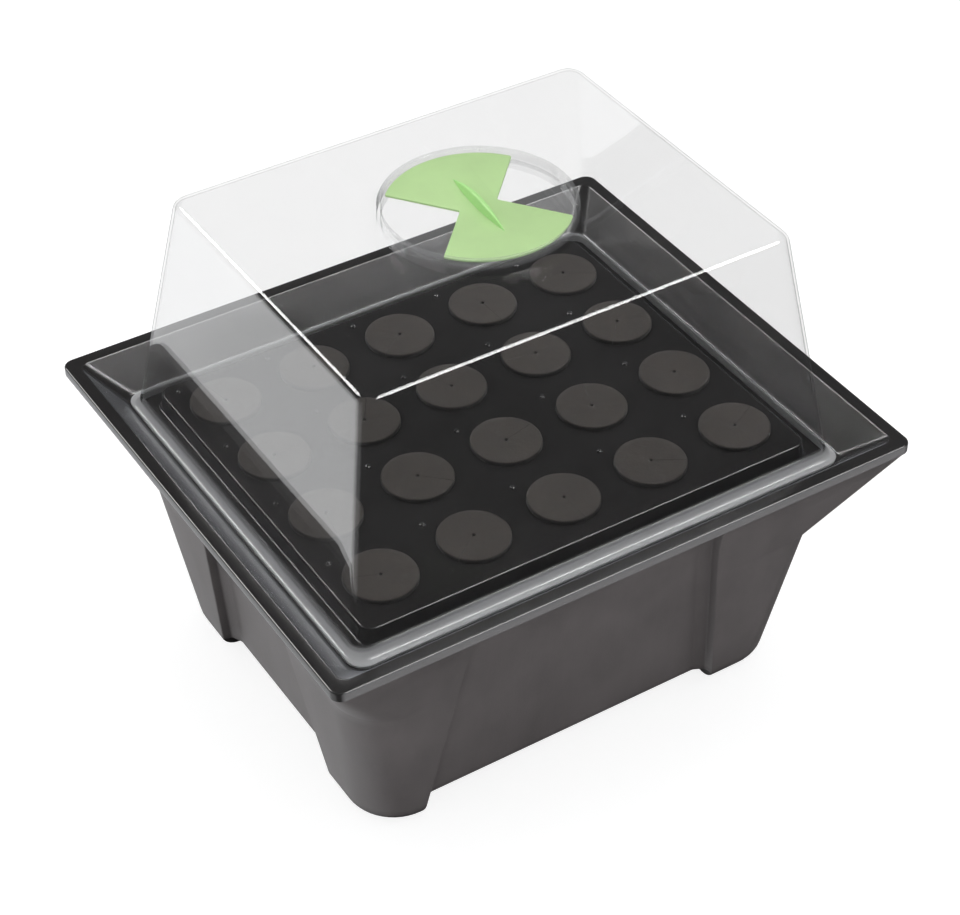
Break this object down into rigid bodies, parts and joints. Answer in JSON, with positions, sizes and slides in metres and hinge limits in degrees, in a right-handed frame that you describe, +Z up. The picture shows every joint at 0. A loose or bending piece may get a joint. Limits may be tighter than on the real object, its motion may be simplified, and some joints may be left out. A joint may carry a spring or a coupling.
{
  "type": "plant propagator",
  "caption": "Deep water tank with a collar plate and a clear vented dome, and a pump with spray pipes that mist the roots of cuttings held in slit foam collars.",
  "frame": {"origin": "centre of the footprint, on the floor", "axes": "+X along the long side, -Y is the long front side, +Z up"},
  "size_m": [0.4454, 0.3854, 0.3786],
  "materials": {
    "tank_grey": "fine textured grey",
    "tray_black": "satin black",
    "collar_foam": "soft closed-cell foam",
    "clear_dome": "clear thin plastic",
    "vent_green": "semi-translucent green",
    "pump_black": "moulded black",
    "pipe_black": "extruded black",
    "core_steel": "laminated",
    "coil_copper": "enamelled winding",
    "shaft_ceramic": "polished",
    "magnet_ferrite": "ferrite",
    "impeller_blue": "moulded",
    "rubber_black": "matte",
    "knob_red": "moulded",
    "filter_foam": "open-cell foam",
    "cable_black": "satin sheath",
    "tie_white": "moulded",
    "pin_nickel": "nickel plated"
  },
  "bodies": {
    "base": {"tank": "tank_grey", "pump_body": "pump_black", "motor_core": "core_steel", "motor_coil": "coil_copper", "rotor_shaft": "shaft_ceramic", "rear_bush": "rubber_black", "front_bush": "rubber_black", "volute_cover": "pump_black", "volute_seal": "rubber_black", "suction_feet": "rubber_black", "riser_pipe": "pipe_black", "manifold_hub": "pump_black", "branch_tee_left": "pump_black", "branch_tee_right": "pump_black", "main_pipe_left": "pipe_black", "main_pipe_right": "pipe_black", "cross_pipe_front_left": "pipe_black", "cross_pipe_front_right": "pipe_black", "cross_pipe_back_left": "pipe_black", "cross_pipe_back_right": "pipe_black", "end_caps": "pump_black", "spray_nozzles": "knob_red", "power_cable": "cable_black", "cable_grommet": "rubber_black", "cable_tie": "tie_white", "plug_body": "cable_black", "plug_pins": "pin_nickel"},
    "plate": {"tray": "tray_black"},
    "dome": {"dome": "clear_dome"},
    "shutter": {"vent_shutter": "vent_green", "vent_clip": "vent_green"},
    "rotor": {"rotor_magnet": "magnet_ferrite", "impeller": "impeller_blue"},
    "knob": {"flow_knob": "knob_red"},
    "grille": {"intake_grille": "pump_black", "intake_foam": "filter_foam"},
    "site_a1": {"collar_a1": "collar_foam"},
    "site_b1": {"collar_b1": "collar_foam"},
    "site_c1": {"collar_c1": "collar_foam"},
    "site_d1": {"collar_d1": "collar_foam"},
    "site_a2": {"collar_a2": "collar_foam"},
    "site_b2": {"collar_b2": "collar_foam"},
    "site_c2": {"collar_c2": "collar_foam"},
    "site_d2": {"collar_d2": "collar_foam"},
    "site_a3": {"collar_a3": "collar_foam"},
    "site_b3": {"collar_b3": "collar_foam"},
    "site_c3": {"collar_c3": "collar_foam"},
    "site_d3": {"collar_d3": "collar_foam"},
    "site_a4": {"collar_a4": "collar_foam"},
    "site_b4": {"collar_b4": "collar_foam"},
    "site_c4": {"collar_c4": "collar_foam"},
    "site_d4": {"collar_d4": "collar_foam"},
    "site_a5": {"collar_a5": "collar_foam"},
    "site_b5": {"collar_b5": "collar_foam"},
    "site_c5": {"collar_c5": "collar_foam"},
    "site_d5": {"collar_d5": "collar_foam"}
  },
  "joints": [
    {"name": "dome_lift", "type": "slide", "parent": "plate", "child": "dome", "axis": [0, 0, 1], "range_m": [0, 0.2]},
    {"name": "impeller_spin", "type": "hinge", "parent": "base", "child": "rotor", "pos_m": [0.0045, -0.008, 0.0336], "axis": [1, 0, 0], "continuous": true},
    {"name": "knob_turn", "type": "hinge", "parent": "base", "child": "knob", "pos_m": [0, 0, 0.0621], "axis": [1, 0, 0], "range_deg": [0, 90]},
    {"name": "grille_slide", "type": "slide", "parent": "base", "child": "grille", "axis": [1, 0, 0], "range_m": [0, 0.03]},
    {"name": "plate_lift", "type": "slide", "parent": "base", "child": "plate", "axis": [0, 0, 1], "range_m": [0, 0.25]},
    {"name": "shutter_turn", "type": "hinge", "parent": "dome", "child": "shutter", "pos_m": [0, 0, 0.372], "axis": [0, 0, 1], "range_deg": [0, 90]},
    {"name": "site_a1_lift", "type": "slide", "parent": "plate", "child": "site_a1", "axis": [0, 0, 1], "range_m": [0, 0.06]},
    {"name": "site_b1_lift", "type": "slide", "parent": "plate", "child": "site_b1", "axis": [0, 0, 1], "range_m": [0, 0.06]},
    {"name": "site_c1_lift", "type": "slide", "parent": "plate", "child": "site_c1", "axis": [0, 0, 1], "range_m": [0, 0.06]},
    {"name": "site_d1_lift", "type": "slide", "parent": "plate", "child": "site_d1", "axis": [0, 0, 1], "range_m": [0, 0.06]},
    {"name": "site_a2_lift", "type": "slide", "parent": "plate", "child": "site_a2", "axis": [0, 0, 1], "range_m": [0, 0.06]},
    {"name": "site_b2_lift", "type": "slide", "parent": "plate", "child": "site_b2", "axis": [0, 0, 1], "range_m": [0, 0.06]},
    {"name": "site_c2_lift", "type": "slide", "parent": "plate", "child": "site_c2", "axis": [0, 0, 1], "range_m": [0, 0.06]},
    {"name": "site_d2_lift", "type": "slide", "parent": "plate", "child": "site_d2", "axis": [0, 0, 1], "range_m": [0, 0.06]},
    {"name": "site_a3_lift", "type": "slide", "parent": "plate", "child": "site_a3", "axis": [0, 0, 1], "range_m": [0, 0.06]},
    {"name": "site_b3_lift", "type": "slide", "parent": "plate", "child": "site_b3", "axis": [0, 0, 1], "range_m": [0, 0.06]},
    {"name": "site_c3_lift", "type": "slide", "parent": "plate", "child": "site_c3", "axis": [0, 0, 1], "range_m": [0, 0.06]},
    {"name": "site_d3_lift", "type": "slide", "parent": "plate", "child": "site_d3", "axis": [0, 0, 1], "range_m": [0, 0.06]},
    {"name": "site_a4_lift", "type": "slide", "parent": "plate", "child": "site_a4", "axis": [0, 0, 1], "range_m": [0, 0.06]},
    {"name": "site_b4_lift", "type": "slide", "parent": "plate", "child": "site_b4", "axis": [0, 0, 1], "range_m": [0, 0.06]},
    {"name": "site_c4_lift", "type": "slide", "parent": "plate", "child": "site_c4", "axis": [0, 0, 1], "range_m": [0, 0.06]},
    {"name": "site_d4_lift", "type": "slide", "parent": "plate", "child": "site_d4", "axis": [0, 0, 1], "range_m": [0, 0.06]},
    {"name": "site_a5_lift", "type": "slide", "parent": "plate", "child": "site_a5", "axis": [0, 0, 1], "range_m": [0, 0.06]},
    {"name": "site_b5_lift", "type": "slide", "parent": "plate", "child": "site_b5", "axis": [0, 0, 1], "range_m": [0, 0.06]},
    {"name": "site_c5_lift", "type": "slide", "parent": "plate", "child": "site_c5", "axis": [0, 0, 1], "range_m": [0, 0.06]},
    {"name": "site_d5_lift", "type": "slide", "parent": "plate", "child": "site_d5", "axis": [0, 0, 1], "range_m": [0, 0.06]}
  ]
}
